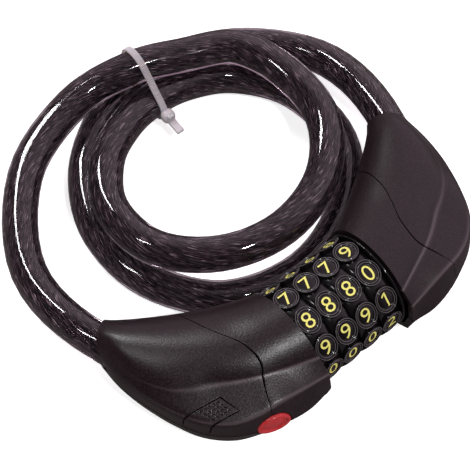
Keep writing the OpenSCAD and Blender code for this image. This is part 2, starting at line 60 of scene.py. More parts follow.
camera = bpy.data.objects.new("camera", bpy.data.cameras.new("camera"))
scene.collection.objects.link(camera)
scene.camera = camera
right = np.array([math.cos(VIEW_TURN), -math.sin(VIEW_TURN), 0])
away = np.array([math.sin(VIEW_TURN), math.cos(VIEW_TURN), 0])
ahead = math.cos(VIEW_RISE) * away - math.sin(VIEW_RISE) * np.array([0, 0, 1])
upward = math.sin(VIEW_RISE) * away + math.cos(VIEW_RISE) * np.array([0, 0, 1])
eye = AXIS_AT - VIEW_SHIFT[0] * right - VIEW_SHIFT[1] * upward - VIEW_DISTANCE * ahead
camera.location = Vector(eye * MM)
camera.rotation_euler = (math.pi / 2 - VIEW_RISE, 0, -VIEW_TURN)
camera.data.sensor_width = SENSOR
camera.data.lens = SENSOR * VIEW_FOCAL / VIEW_WIDTH
camera.data.clip_start, camera.data.clip_end = 0.01, 20


# ---------------------------------------------------------------- cable
# A steel wire rope laid up from eight strands, with smoked clear PVC extruded on it, 12 mm across.
# Both ends run into the housings, and the spare length stays wound in the coil it was set in.
CABLE_D, ROPE_D = 12.0, 7.15
# how far the cable runs into a housing, and the bare rope beyond it into the ferrule
GLAND, ROPE_BARE = 12.0, 11
# where the cable leaves the plug half, and its direction there; the lock half is the mirror image
MOUTH, MOUTH_TURN = np.array([62.2, 38.7, 0.0]), math.radians(17)
MOUTH_OUT = np.array([math.sin(MOUTH_TURN), math.cos(MOUTH_TURN), 0])
MOUTH_SIDE = np.array([math.cos(MOUTH_TURN), -math.sin(MOUTH_TURN), 0])
# the coil's stations, one every 30 degrees from the lock half: distance from its middle, and height
COIL_MIDDLE, COIL_STEP = (8.0, 74.0), 30
COIL_R = (71.6, 58.9, 46, 36.5, 33.5, 38.2, 39.6, 42.8, 43.7, 43.6, 42.9, 41.8, 37.4, 31.1, 26.9, 26.5,
          29.7, 36, 43.3, 49.5, 52.2, 53.5, 52.5, 48, 43.2, 39.3, 37.4, 38.9, 42.9, 51, 59.8)
COIL_Z = (14.5, 14.8, 18, 21.5, 22, 22.5, 22, 21.4, 21.4, 20.8, 19.8, 18.7, 17.5, 16.3, 14.6, 12.2, 9.7,
          7.6, 6.6, 6.1, 6.1, 6.1, 6.1, 6.1, 6.1, 6.2, 7.1, 7.9, 7.3, 6.7, 9.8)
MIRROR = np.array([-1, 1, 1])


def spline(p, t):
    """Point at t between the middle two of four points."""
    a, b, c, d = p
    return 0.5 * (2 * b + (c - a) * t + (2 * a - 5 * b + 4 * c - d) * t * t
                  + (3 * b - a - 3 * c + d) * t ** 3)


def unit(v):
    return v / np.linalg.norm(v)


stations = [np.array([COIL_MIDDLE[0] - r * math.cos(math.radians(COIL_STEP * k)),
                      COIL_MIDDLE[1] + r * math.sin(math.radians(COIL_STEP * k)), z - AXIS_AT[2]])
            for k, (r, z) in enumerate(zip(COIL_R, COIL_Z))]
left_mouth, left_out = MOUTH * MIRROR, MOUTH_OUT * MIRROR
route = ([stations[0] - 2 * np.linalg.norm(stations[0] - left_mouth) * left_out, left_mouth] + stations
         + [MOUTH, stations[-1] - 2 * np.linalg.norm(stations[-1] - MOUTH) * MOUTH_OUT])
STEPS = 6
free_line = [spline(route[k - 1:k + 3], s / STEPS) for k in range(1, len(route) - 2) for s in range(STEPS)]
free_line.append(MOUTH)


def with_ends(line, inside):
    """The free line with straight ends, a point every 2 mm, this far into the two housings."""
    n = max(2, round(inside / 2))
    before = [left_mouth - left_out * inside * (1 - i / n) for i in range(n)]
    after = [MOUTH - MOUTH_OUT * inside * (i + 1) / n for i in range(n)]
    return [(p + AXIS_AT) * MM for p in before + list(line) + after]


def link(name, mesh, smooth=True):
    """A mesh as an object of the scene."""
    if smooth:
        mesh.polygons.foreach_set("use_smooth", [True] * len(mesh.polygons))
    thing = bpy.data.objects.new(name, mesh)
    scene.collection.objects.link(thing)
    return thing


def sweep(name, path, sides, radius_at, twist_at=lambda s: 0.0, over=(0, 0, 1.0)):
    """A tube along a path. radius_at(angle) gives its outline, which turns by twist_at(length)."""
    p = np.array(path)
    tangent = np.gradient(p, axis=0)
    tangent /= np.linalg.norm(tangent, axis=1)[:, None]
    side = np.cross(tangent, over)
    side /= np.linalg.norm(side, axis=1)[:, None]
    up = np.cross(side, tangent)
    run = np.concatenate([[0], np.cumsum(np.linalg.norm(np.diff(p, axis=0), axis=1))])
    angle = np.arange(sides) * 2 * math.pi / sides
    verts, n = [], len(p)
    for i in range(n):
        r = radius_at(angle - twist_at(run[i]))
        verts.append(p[i] + (r * np.cos(angle))[:, None] * side[i] + (r * np.sin(angle))[:, None] * up[i])
    faces = [(i * sides + k, (i + 1) * sides + k,
              (i + 1) * sides + (k + 1) % sides, i * sides + (k + 1) % sides)
             for i in range(n - 1) for k in range(sides)]
    uvs = [uv for i in range(n - 1) for k in range(sides)
           for uv in ((k / sides, run[i]), (k / sides, run[i + 1]),
                      ((k + 1) / sides, run[i + 1]), ((k + 1) / sides, run[i]))]
    for ring, order in ((0, 1), (n - 1, -1)):
        faces.append(tuple(ring * sides + k for k in range(sides))[::order])
        uvs += [(0, run[ring])] * sides
    mesh = bpy.data.meshes.new(name)
    mesh.from_pydata(np.concatenate(verts).tolist(), [], faces)
    mesh.uv_layers.new(name="along").data.foreach_set("uv", [c for uv in uvs for c in uv])
    mesh.validate()
    return link(name, mesh)


def linear(hexa):
    """An sRGB hex colour as linear red, green, blue and alpha."""
    c = [int(hexa[i:i + 2], 16) / 255 for i in (1, 3, 5)]
    return [x / 12.92 if x <= 0.04045 else ((x + 0.055) / 1.055) ** 2.4 for x in c] + [1]


def finish_with(tree, node, **inputs):
    """Gives a node's sockets values or links, by name or by number (_0)."""
    for key, value in inputs.items():
        socket = node.inputs[int(key[1:]) if key[0] == "_" else key.replace("_", " ")]
        if isinstance(value, bpy.types.NodeSocket):
            tree.links.new(value, socket)
        else:
            socket.default_value = value


def add(tree, kind, settings=None, **inputs):
    """A node with its settings and links."""
    made = tree.nodes.new(kind)
    for key, value in (settings or {}).items():
        setattr(made, key, value)
    finish_with(tree, made, **inputs)
    return made


def ramp(tree, value, dark, light, low=0.0, high=1.0):
    """A colour that goes from dark to light as a value goes from low to high."""
    made = add(tree, "ShaderNodeValToRGB", Fac=value)
    for stop, at, colour in zip(made.color_ramp.elements, (low, high), (dark, light)):
        stop.position, stop.color = at, linear(colour)
    return made.outputs[0]


def new_material(name):
    """A material with its node tree and its surface shader."""
    made = bpy.data.materials.new(name)
    made.use_nodes = True
    return made, made.node_tree, made.node_tree.nodes["Principled BSDF"]


# galvanised drawn steel wire in a left-hand lay, seen through the plastic: grey streaks along the wires,
# short white glints that are painted highlights, and painted shade between the wires. Real wires are about
# 0.4 mm thick, too fine to show, so they are drawn 0.62 mm apart, with 1.1 streaks and 1.8 painted glints to
# each.
rope_steel, tree, shader = new_material("galvanised_steel_wire_rope")
WIRE_PITCH, LAY, STREAKS, PAINTED_GLINTS, STREAK_LONG = 0.62, -125.0, 1.1, 1.8, 5.0
WIRES = round(math.pi * ROPE_D / WIRE_PITCH)
uv = add(tree, "ShaderNodeUVMap", {"uv_map": "along"})
place = add(tree, "ShaderNodeSeparateXYZ", Vector=uv.outputs[0])
turns = add(tree, "ShaderNodeMath", {"operation": "MULTIPLY"}, _0=place.outputs["Y"], _1=1000 / LAY)
lay_u = add(tree, "ShaderNodeMath", {"operation": "SUBTRACT"}, _0=place.outputs["X"], _1=turns.outputs[0])
lay_v = add(tree, "ShaderNodeMath", {"operation": "MULTIPLY"}, _0=place.outputs["Y"], _1=1000.0)
lay = add(tree, "ShaderNodeCombineXYZ", X=lay_u.outputs[0], Y=lay_v.outputs[0])
wires = add(tree, "ShaderNodeMath", {"operation": "MULTIPLY"}, _0=lay_u.outputs[0], _1=WIRES * 2 * math.pi)
wave = add(tree, "ShaderNodeMath", {"operation": "COSINE"}, _0=wires.outputs[0])
streak = add(tree, "ShaderNodeTexNoise", Vector=add(
    tree, "ShaderNodeMapping", Vector=lay.outputs[0], Scale=(WIRES * STREAKS, 1 / STREAK_LONG, 1)).outputs[0],
    Scale=1.0, Detail=3.0, Roughness=0.75)
tone = ramp(tree, streak.outputs[0], "#0e090b", "#8c7b83", 0.43, 0.62)
painted_glint_noise = add(tree, "ShaderNodeTexNoise", Vector=add(
    tree, "ShaderNodeMapping", Vector=lay.outputs[0], Scale=(WIRES * PAINTED_GLINTS, 1 / STREAK_LONG, 1)).outputs[0],
    Scale=1.0, Detail=1.0)
# painted highlight: white glints are laid on the wires where this mask is high
spark = add(tree, "ShaderNodeMapRange", Value=painted_glint_noise.outputs[0], From_Min=0.62, From_Max=0.7)
# painted shade: the grooves between the wires are darkened, down to 0.35 of their tone
gap = add(tree, "ShaderNodeMapRange", Value=wave.outputs[0], From_Min=-1.0, From_Max=0.4, To_Min=0.35)
shaded_between_wires = add(tree, "ShaderNodeMix", {"data_type": "RGBA", "blend_type": "MULTIPLY"}, _0=1.0,
            _6=tone, _7=gap.outputs[0])
glints_painted_on = add(tree, "ShaderNodeMix", {"data_type": "RGBA"}, _0=spark.outputs[0], _6=shaded_between_wires.outputs[2],
            _7=linear("#f0e6e6"))
bump = add(tree, "ShaderNodeBump", Strength=0.5, Distance=0.0003, Height=wave.outputs[0])
finish_with(tree, shader, Base_Color=glints_painted_on.outputs[2], Metallic=0.35, Roughness=0.5, Normal=bump.outputs[0])

# soft PVC, smoked brown-black, extruded smooth with slow swells a few centimetres long: wet-looking
# highlights over the dim rope, which waver along the turns
smoked_pvc, tree, shader = new_material("smoked_soft_pvc")
SWELLS_AROUND, SWELLS_PER_METRE = 2, 30
uv = add(tree, "ShaderNodeUVMap", {"uv_map": "along"})
swell = add(tree, "ShaderNodeTexNoise", Vector=add(
    tree, "ShaderNodeMapping", Vector=uv.outputs[0], Scale=(SWELLS_AROUND, SWELLS_PER_METRE, 1)).outputs[0],
    Scale=1.0, Detail=0.0)
bump = add(tree, "ShaderNodeBump", Strength=0.2, Distance=0.0004, Height=swell.outputs[0])
finish_with(tree, shader, Base_Color=linear("#b3a2ad"), Roughness=0.05, IOR=1.53, Transmission_Weight=1.0,
            Normal=bump.outputs[0])

# the strands' relief is a share of the rope's radius
STRANDS, STRAND_RELIEF = 8, 0.1
sleeve = sweep("cable_sleeve_tube", with_ends(free_line, GLAND), 36, lambda a: a * 0 + CABLE_D / 2 * MM)
sleeve.data.materials.append(smoked_pvc)
rope = sweep("wire_rope_strands", with_ends(free_line, GLAND + ROPE_BARE), 64,
             lambda a: ROPE_D / 2 * MM * (1 - STRAND_RELIEF
                                          + STRAND_RELIEF * np.abs(np.cos(STRANDS * a / 2))),
             lambda s: 2 * math.pi * s / (LAY * MM))
rope.data.materials.append(rope_steel)


# ---------------------------------------------------------------- cable tie
# A natural nylon tie, 2.4 mm wide, pulled tight round the three turns that lie together.
# Moulded in one piece: a ridged strap, and a head with the pawl that holds it.
TIE_W, TIE_T, TIE_IN = 2.4, 1.15, CABLE_D / 2 + 0.22
# where it goes round, as a station of the coil, and how far inside and above the middle turn its head is
TIE_STATION, HEAD_IN, HEAD_UP = 3.12, 2.7, 1
# the real ridges are about 0.5 mm apart, too fine to show, so they are drawn 0.9 mm apart
STRAP_STEPS, RIDGE_DEPTH = 224, 0.5
# the strap's outline in shares of its width and thickness
STRAP = [(-0.5, 0.12), (-0.38, 0.0), (0.38, 0.0), (0.5, 0.12),
         (0.5, 0.86), (0.4, 1.0), (-0.4, 1.0), (-0.5, 0.86)]
# the head, the pawl's housing and the cut-off tail: place from the head's, size, rounding and its steps
TIE_BLOCKS = (((0, 0), (4.9, 4.9, 4.9), 2.2, 6), ((-1.6, 1.6), (1.6, 1.8, 2.7), 0.7, 3),
              ((-4.2, -0.6), (7.0, 1.5, 2.8), 0.55, 3))


def on_route(k):
    """The cable's middle at a station of the coil."""
    i = math.floor(k)
    return spline(route[i + 1:i + 5], k - i)


tie_centres = [on_route(TIE_STATION + 360 / COIL_STEP * n) for n in range(3)]
middle = np.array([COIL_MIDDLE[0], COIL_MIDDLE[1], 0])
tie_out = unit((tie_centres[0] - middle) * [1, 1, 0])
tie_across = np.cross([0, 0, 1.0], tie_out)


def hull_2d(points):
    """The convex outline of points, anticlockwise."""
    points = sorted(points)
    outline = []
    for row in (points, points[::-1]):
        start = len(outline)
        for q in row:
            while len(outline) - start >= 2 and (
                    (outline[-1][0] - outline[-2][0]) * (q[1] - outline[-2][1])
                    - (outline[-1][1] - outline[-2][1]) * (q[0] - outline[-2][0])) <= 0:
                outline.pop()
            outline.append(q)
        outline.pop()
    return outline


def tie_loop(reach):
    """Evenly spaced points of the strap's path in the tie's plane, this far from the turns."""
    flat = [(float(np.dot(c - middle, tie_out)), float(c[2])) for c in tie_centres]
    ring = hull_2d([(c[0] + reach * math.cos(a), c[1] + reach * math.sin(a))
                    for c in flat for a in np.linspace(0, 2 * math.pi, 72, endpoint=False)])
    ring = np.array(ring + ring[:1])
    run = np.concatenate([[0], np.cumsum(np.linalg.norm(np.diff(ring, axis=0), axis=1))])
    at = np.linspace(0, run[-1], STRAP_STEPS, endpoint=False)
    return np.stack([np.interp(at, run, ring[:, 0]), np.interp(at, run, ring[:, 1])], axis=1)


def tie_point(p, across):
    """A point of the tie's plane (out from the coil's middle, up), moved across it."""
    return (middle + p[0] * tie_out + np.array([0, 0, p[1]]) + across * tie_across + AXIS_AT) * MM


def merge(made, other):
    """Adds another bmesh's faces to a bmesh."""
    spare = bpy.data.meshes.new("spare")
    other.to_mesh(spare)
    other.free()
    made.from_mesh(spare)
    bpy.data.meshes.remove(spare)


def block(centre, axes, size, rounding, steps):
    """A moulded block with rounded edges, in a frame of three axes, in millimetres."""
    made = bmesh.new()
    bmesh.ops.create_cube(made, size=1)
    for v in made.verts:
        v.co = Vector([v.co[i] * size[i] for i in range(3)])
    bmesh.ops.bevel(made, geom=made.edges[:], offset=rounding, segments=steps, profile=0.5,
                    affect="EDGES")
    for v in made.verts:
        v.co = Vector((sum(v.co[i] * np.array(axes[i]) for i in range(3)) + np.array(centre)) * MM)
    return made


strap = bmesh.new()
rings = []
for n, (inner, outer) in enumerate(zip(tie_loop(TIE_IN), tie_loop(TIE_IN + TIE_T))):
    ridge = RIDGE_DEPTH * (n % 2)
    rings.append([strap.verts.new(tie_point(inner + (outer - inner) * (d - ridge * (d > 0.9)), w * TIE_W))
                  for w, d in STRAP])
for ring, after in zip(rings, rings[1:] + rings[:1]):
    for k in range(len(STRAP)):
        n = (k + 1) % len(STRAP)
        strap.faces.new((ring[k], ring[n], after[n], after[k]))
head_at = np.array([float(np.dot(tie_centres[1] - middle, tie_out)) - TIE_IN - HEAD_IN,
                    float(tie_centres[1][2]) + HEAD_UP])
axes = (tie_out, (0, 0, 1), tie_across)
for offset, size, rounding, steps in TIE_BLOCKS:
    merge(strap, block(tie_point(head_at + offset, 0) / MM, axes, size, rounding, steps))
bmesh.ops.recalc_face_normals(strap, faces=strap.faces[:])
mesh = bpy.data.meshes.new("nylon_cable_tie")
strap.to_mesh(mesh)
strap.free()
tie = link("nylon_cable_tie", mesh, smooth=False)
soft_edges = tie.modifiers.new("soften", "BEVEL")
soft_edges.width, soft_edges.segments, soft_edges.limit_method = 0.12 * MM, 2, "ANGLE"
soft_edges.harden_normals = False


def mottle(tree, size_mm, detail=2.0):
    """Uneven spots over a piece, this many millimetres across."""
    place = add(tree, "ShaderNodeTexCoord")
    return add(tree, "ShaderNodeTexNoise", Vector=place.outputs["Object"], Scale=1000 / size_mm,
               Detail=detail).outputs[0]


# natural nylon 6/6, moulded satin: milky, with faint clouds, and lets some light into its edges
natural_nylon, tree, shader = new_material("natural_nylon_66")
CLOUDS_MM = 2.381
clouds = mottle(tree, CLOUDS_MM, 3.0)
bump = add(tree, "ShaderNodeBump", Strength=0.15, Distance=0.0003, Height=clouds)
finish_with(tree, shader, Base_Color=ramp(tree, clouds, "#cdc4ce", "#e6e0de"), Roughness=0.38,
            Transmission_Weight=0.25, IOR=1.53, Subsurface_Weight=0.5, Subsurface_Scale=0.002,
            Subsurface_Radius=(1.0, 0.8, 0.6), Normal=bump.outputs[0])
tie.data.materials.append(natural_nylon)

for piece, node, slot in ((sleeve, "cable_sleeve", "smoked_pvc"), (rope, "wire_rope", "rope_steel"),
                          (tie, "cable_tie", "tie_nylon")):
    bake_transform(piece)
    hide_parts(node)


# ---------------------------------------------------------------- die-cast cores and locking work
# Inside each half a zinc block grips the cable's ferrule. The lock half's block carries the slotted
# steel tube that the dials and their brass cams turn on, and the plug half's block carries the bolt.
def dress(material, *names):
    """Gives CAD nodes a material in all their slots."""
    for name in names:
        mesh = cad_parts[name].data
        mesh.materials.clear()
        mesh.materials.append(material)
        mesh.polygons.foreach_set("material_index", [0] * len(mesh.polygons))


def metal(name, dark, light, roughness, grain_mm, stretch, bumpiness):
    """A metal with brushed or cast grain: two colours, a grain size and how far it is drawn along X."""
    made, tree, shader = new_material(name)
    place = add(tree, "ShaderNodeTexCoord")
    grain = add(tree, "ShaderNodeTexNoise", Vector=add(
        tree, "ShaderNodeMapping", Vector=place.outputs["Object"], Scale=(1 / stretch, 1, 1)).outputs[0],
        Scale=1000 / grain_mm, Detail=3.0, Roughness=0.6)
    tone = ramp(tree, grain.outputs[0], dark, light, 0.3, 0.75)
    rough = add(tree, "ShaderNodeMapRange", Value=grain.outputs[0],
                To_Min=roughness * 0.8, To_Max=roughness * 1.25)
    bump = add(tree, "ShaderNodeBump", Strength=bumpiness, Distance=0.0001, Height=grain.outputs[0])
    finish_with(tree, shader, Base_Color=tone, Metallic=1.0, Roughness=rough.outputs[0],
                Normal=bump.outputs[0])
    return made


# zinc as cast: dull grey with flow marks; turned and plated steel: bright with a faint lathe grain;
# turned brass: warm yellow, with the same fine rings. A tool leaves rings about 0.1 mm apart, too fine
# to show, so they are drawn at 0.25 and 0.3 mm.
cast_zinc = metal("die_cast_zinc", "#8f9094", "#b4b5b8", 0.45, 1.1, 1.0, 0.5)
plated_steel = metal("nickel_plated_turned_steel", "#b9b7b2", "#dcdad5", 0.2, 0.25, 0.1, 0.15)
cam_brass = metal("turned_free_cutting_brass", "#b08d3e", "#d9b968", 0.28, 0.3, 0.15, 0.2)
dress(cast_zinc, "lock_core", "plug_core")
dress(plated_steel, "dial_tube", "lock_bolt", "dial_detents", "lock_ferrule", "plug_ferrule",
      "lock_ferrule_pin", "plug_ferrule_pin", "lock_screws", "plug_screws")
dress(cam_brass, "cam_1", "cam_2", "cam_3", "cam_4")


# ---------------------------------------------------------------- housings
# Two mirror-image halves, each of three glass-filled nylon mouldings: a dial cover and a cable cover
# that meet along an S-shaped seam, and a bottom shell below the parting line. Screwed from below.
# how far from the middle each half's dial end stands, and the rails start
SIDE_FACE, RAIL_FACE = {"lock": 16.8, "plug": 18.2}, 18.2
# the gaps at the parting line and at the seam, and the rows of faces along each moulding
PART_GAP, SEAM_GAP = 0.7, 0.54
DIAL_ROWS, CABLE_ROWS, BOTTOM_ROWS = 34, 80, 96
LIP_R = CABLE_D / 2 + 0.9


def lip(turn, back):
    """A point of the lip round the cable, turned from the outer side and set back from the mouth."""
    a = math.radians(turn)
    return tuple(MOUTH - back * MOUTH_OUT + LIP_R * math.cos(a) * MOUTH_SIDE
                 + np.array([0, 0, LIP_R * math.sin(a)]))


# rails of the plug half at eleven stations from the dial end to the mouth: the foot of the outer wall,
# its upper edge, the fold over the sloping facet, the crown, and the foot of the inner side
OUTER = [(18.2, -20.5, 0), (26, -21.5, 0), (34, -20.3, 0), (42, -17.5, 0), (50, -13.3, 0), (57, -6.3, 0),
         (61.6, 3, 0), (64.8, 13, 0), (66.5, 20, 0), (66.9, 25, 0), lip(0, 8)]
EDGE = [(18.2, -19, 8), (26, -17.9, 9), (34.5, -16.8, 9.8), (42.3, -15.4, 8.2), (50, -12.2, 6.8),
        (56.6, -5.6, 6.3), (61.1, 3.4, 5.8), (64.2, 13, 5.2), (65.6, 20.2, 4.7), (66.2, 26, 4.2), lip(35, 5)]
FOLD = [(18.2, -14, 11.8), (26, -10.8, 12.1), (33.8, -7.5, 12.2), (40, -4, 11.4), (46.3, 0.5, 10.4),
        (52.3, 4, 9.6), (57.5, 8.4, 8.9), (61.4, 15, 7.9), (63.5, 22, 7.1), (64.6, 29, 6.5), lip(60, 2)]
TOP = [(18.2, 0, 18.3), (26, 2, 17.4), (33, 4.5, 16.3), (39, 8.5, 15.5), (45, 13, 14.5), (50, 18, 13.5),
       (54, 23, 12.5), (57.8, 28, 11.4), (60.5, 32, 10.3), (61.7, 35.7, 8.7), lip(90, 0)]
BACK = [(18.2, 18.4, 0), (24, 21.4, 0), (30.5, 24.8, 0), (36, 27.8, 0), (40.5, 30.6, 0), (44.1, 33, 0),
        (47.3, 35.2, 0), (50, 37.1, 0), (52.4, 39, 0), (54.5, 40.8, 0), lip(180, -2)]
# the wall's thickness at each station, and the seam's station at seventeen places round the section
WALL = (2.2, 2.2, 2.2, 2.2, 2.2, 2.2, 2.2, 1.9, 1.5, 1.0, 0.6)
SEAM = (2.6, 2.52, 2.45, 2.25, 2.0, 1.83, 1.78, 1.84, 2.0, 2.5, 2.95, 3.22, 3.45, 3.6, 3.7, 3.77, 3.8)
LAST = len(OUTER) - 1
# how full the shoulder is, and half the width of the painted highlight along a fold in steps of the section
FULLNESS, FOLD_HIGHLIGHT_HALF_WIDTH = 0.6, 0.13
# the lower shell's inner side is drawn in a little, and its underside bulges to meet the table flat
DRAWN_IN, DEEPER, DEEPER_FROM = 0.06, 0.06, 11
# how much of the section the folds are rounded over, from the dial end to the mouth
ROUNDED = ([0, 2, 3.5, 6, 8.5, 10], [0.13, 0.16, 0.34, 0.75, 1.0, 0.9])


def padded(rail):
    """A rail with one more station before and after, for the spline."""
    rail = np.array(rail, float)
    return np.concatenate([[2 * rail[0] - rail[1]], rail, [2 * rail[-1] - rail[-2]]])


def along(rail, v):
    """Points of a padded rail at an array of stations."""
    i = np.clip(np.floor(v).astype(int), 0, len(rail) - 4)
    t = (v - i)[..., None]
    return spline([rail[i + n] for n in range(4)], t)


RAILS = [padded(r) for r in (OUTER, EDGE, FOLD, TOP, BACK)]
SEAM_RAIL = padded([(s,) for s in SEAM])


def raw_section(v, u, drawn_in):
    """Outer wall up to u = 2, sloping facet to 4, shoulder to 8, back to 16."""
    o, e, f, t, b = [along(r, v) for r in RAILS]
    u = u[..., None]
    control = np.concatenate([t[..., :2] + FULLNESS * (f - t)[..., :2], t[..., 2:]], axis=-1)
    s = (u - 4) / 4
    shoulder = (1 - s) ** 2 * f + 2 * s * (1 - s) * control + s * s * t
    a = np.clip((u - 8) / 8, 0, 1) * math.pi / 2
    q = 1 - drawn_in[..., None] * np.sin(2 * a)
    back = np.concatenate([t[..., :2] + (b - t)[..., :2] * np.sin(a) * q, t[..., 2:] * np.cos(a) * q],
                          axis=-1)
    return np.where(u <= 2, o + (e - o) * u / 2, np.where(
        u <= 4, e + (f - e) * (u - 2) / 2, np.where(u <= 8, shoulder, back)))


def section(v, u, face, low):
    """The outer surface, with its two folds rounded: crisp at the dials, fading towards the mouth."""
    v, u = np.broadcast_arrays(np.asarray(v, float), np.asarray(u, float))
    drawn_in = np.clip(4 - v / 2, 0, 1) * (DRAWN_IN if low else 0)
    fade = np.interp(v, *ROUNDED)
    fade = np.minimum(fade, np.minimum(u, 16 - u) * 0.999)
    p = sum(raw_section(v, u + w * fade, drawn_in) for w in np.linspace(-0.9, 0.9, 9)) / 9
    p = p + np.stack([np.maximum(0, 1 - v) * (face - RAIL_FACE), v * 0, v * 0], axis=-1)
    if low:
        z = p[..., 2] + DEEPER * np.maximum(0, p[..., 2] - DEEPER_FROM)
        z = PART_GAP + z * (1 - PART_GAP / AXIS_AT[2])
        p = np.concatenate([p[..., :2], -np.minimum(z, AXIS_AT[2])[..., None]], axis=-1)
    return p


# steps round the section, closer together at the wall's edge (2) and the fold (4)
U_STEPS = np.concatenate([np.linspace(0, 1.35, 6), np.linspace(1.55, 2.45, 11), np.linspace(2.65, 3.35, 4),
                          np.linspace(3.55, 4.45, 11), np.linspace(4.75, 8, 12), np.linspace(8.35, 16, 24)])


def shell(name, side, v_from, v_to, rows, low, wall=1.0):
    """A closed moulding between two stations given for every step round the section. Its folds are
    given a painted highlight, most at the dial end."""
    face = SIDE_FACE[side]
    share = np.linspace(0, 1, rows + 1)[:, None]
    v = v_from[None, :] + (v_to - v_from)[None, :] * share
    g = section(v, U_STEPS[None, :] + v * 0, face, low)
    du, dv = np.gradient(g, axis=1), np.gradient(g, axis=0)
    normal = np.cross(du, dv) * (-1 if low else 1)
    for edge in (0, -1):
        normal[:, edge, 2] = 0
    normal[np.isclose(v, 0), 0] = 0
    mouth_end = np.isclose(v, LAST)
    normal[mouth_end] -= (normal[mouth_end] @ MOUTH_OUT)[:, None] * MOUTH_OUT
    normal /= np.maximum(np.linalg.norm(normal, axis=-1), 1e-9)[..., None]
    thick = np.interp(v, range(LAST + 1), np.array(WALL)) * wall
    h = g + normal * thick[..., None]
    m, count = len(U_STEPS), (rows + 1) * len(U_STEPS)
    i, j = np.meshgrid(np.arange(rows), np.arange(m - 1), indexing="ij")
    a = (i * m + j).ravel()
    skin = np.stack([a, a + 1, a + m + 1, a + m], axis=1)
    faces = skin.tolist() + (skin[:, ::-1] + count).tolist()
    ring = ([n for n in range(m)] + [r * m + m - 1 for r in range(1, rows + 1)]
            + [rows * m + n for n in range(m - 2, -1, -1)] + [r * m for r in range(rows - 1, 0, -1)])
    for p, q in zip(ring, ring[1:] + ring[:1]):
        faces.append([q, p, p + count, q + count])
    points = np.concatenate([g.reshape(-1, 3), h.reshape(-1, 3)])
    if side == "lock":
        points = points * MIRROR
    if (side == "lock") != low:
        faces = [f[::-1] for f in faces]
    mesh = bpy.data.meshes.new(name)
    mesh.from_pydata(((points + AXIS_AT) * MM).tolist(), [], faces)
    # painted highlight: a paler band along each fold, strongest at the dial end, none on the bottom shell
    fold_highlight = sum(np.exp(-((U_STEPS[None, :] - fold) / FOLD_HIGHLIGHT_HALF_WIDTH) ** 2) for fold in (2, 4))
    fold_highlight = fold_highlight * np.interp(v, [0, 3, 6, 8], [1, 0.8, 0.25, 0]) * (0 if low else 1)
    mesh.attributes.new("painted_fold_highlight", "FLOAT", "POINT").data.foreach_set(
        "value", np.concatenate([fold_highlight.ravel(), fold_highlight.ravel() * 0]).astype(np.float32))
    return link(name, mesh)


def cut_with(piece, cutter, operation="DIFFERENCE"):
    """Cuts a piece with another mesh, which is then taken away."""
    cut = piece.modifiers.new("cut", "BOOLEAN")
    cut.object, cut.operation, cut.solver = cutter, operation, "EXACT"
    apply_modifiers(piece)
    bpy.data.objects.remove(cutter)


def apply_modifiers(piece):
    """Makes a piece's modifiers its mesh."""
    made = bpy.data.meshes.new_from_object(piece.evaluated_get(bpy.context.evaluated_depsgraph_get()))
    piece.modifiers.clear()
    old, piece.data = piece.data, made
    bpy.data.meshes.remove(old)


def round_rims(piece, width=0.3, limit=50):
    """Rounds the rims of a moulding, drops the faces with no area that this leaves, and keeps the
    broad faces smooth."""
    rim = piece.modifiers.new("round rims", "BEVEL")
    rim.width, rim.segments, rim.limit_method = width * MM, 2, "ANGLE"
    rim.angle_limit = math.radians(limit)
    rim.use_clamp_overlap = True
    rim.harden_normals = False
    apply_modifiers(piece)
    cleaned = bmesh.new()
    cleaned.from_mesh(piece.data)
    bmesh.ops.dissolve_degenerate(cleaned, dist=0.0001 * MM, edges=cleaned.edges[:])
    cleaned.to_mesh(piece.data)
    cleaned.free()
    piece.data.polygons.foreach_set("use_smooth", [True] * len(piece.data.polygons))
    flat = piece.modifiers.new("even shading", "WEIGHTED_NORMAL")
    flat.keep_sharp, flat.weight = False, 80


# nylon 6 with glass fibre: charcoal with a purple-brown cast, matt from a spark-eroded mould, and a
# painted highlight, paler, along the folds. The mould's grain is about 0.1 mm on the real
# piece, too fine to show, so it is drawn at 0.6 mm.
charcoal_nylon, tree, shader = new_material("glass_filled_nylon_charcoal")
SPARK_MM, SHADE_MM = 0.6, 7.0
spark = mottle(tree, SPARK_MM)
toned = add(tree, "ShaderNodeMix", {"data_type": "RGBA", "blend_type": "MULTIPLY"}, _0=1.0,
            _6=ramp(tree, spark, "#10090c", "#2a1c21", 0.3, 0.72),
            _7=ramp(tree, mottle(tree, SHADE_MM, 3.0), "#e6e0e2", "#ffffff", 0.3, 0.7))
# the painted highlight along the folds, mixed towards a paler grey
edge = add(tree, "ShaderNodeAttribute", {"attribute_name": "painted_fold_highlight"})
fold_highlight_share = add(tree, "ShaderNodeMath", {"operation": "MULTIPLY", "use_clamp": True},
           _0=edge.outputs["Fac"], _1=0.55)
fold_highlight = add(tree, "ShaderNodeMix", {"data_type": "RGBA"}, _0=fold_highlight_share.outputs[0], _6=toned.outputs[2],
           _7=linear("#74696d"))
gloss = add(tree, "ShaderNodeMapRange", Value=spark, To_Min=0.28, To_Max=0.42)
bump = add(tree, "ShaderNodeBump", Strength=0.7, Distance=0.00008, Height=spark)
finish_with(tree, shader, Base_Color=fold_highlight.outputs[2], Roughness=gloss.outputs[0], IOR=1.43,
            Normal=bump.outputs[0])

seam_v = along(SEAM_RAIL, U_STEPS)[:, 0]
# the seam closes up on the outer wall, where it meets the button
seam_far_v = seam_v + SEAM_GAP / 8 * np.interp(U_STEPS, [0, 2.4, 3.4], [0.4, 0.4, 1])
start_v, end_v = U_STEPS * 0, U_STEPS * 0 + LAST
# the push button's place and direction in the wall, which its hole needs
BUTTON_AT, BUTTON_TURN, BUTTON_R = np.array([-38.2, -17.9, -0.3]), math.radians(-19.3), 5.6
HOLE_R = BUTTON_R + 0.3
button_out = np.array([math.sin(BUTTON_TURN), -math.cos(BUTTON_TURN), 0])
button_side = np.array([math.cos(BUTTON_TURN), math.sin(BUTTON_TURN), 0])


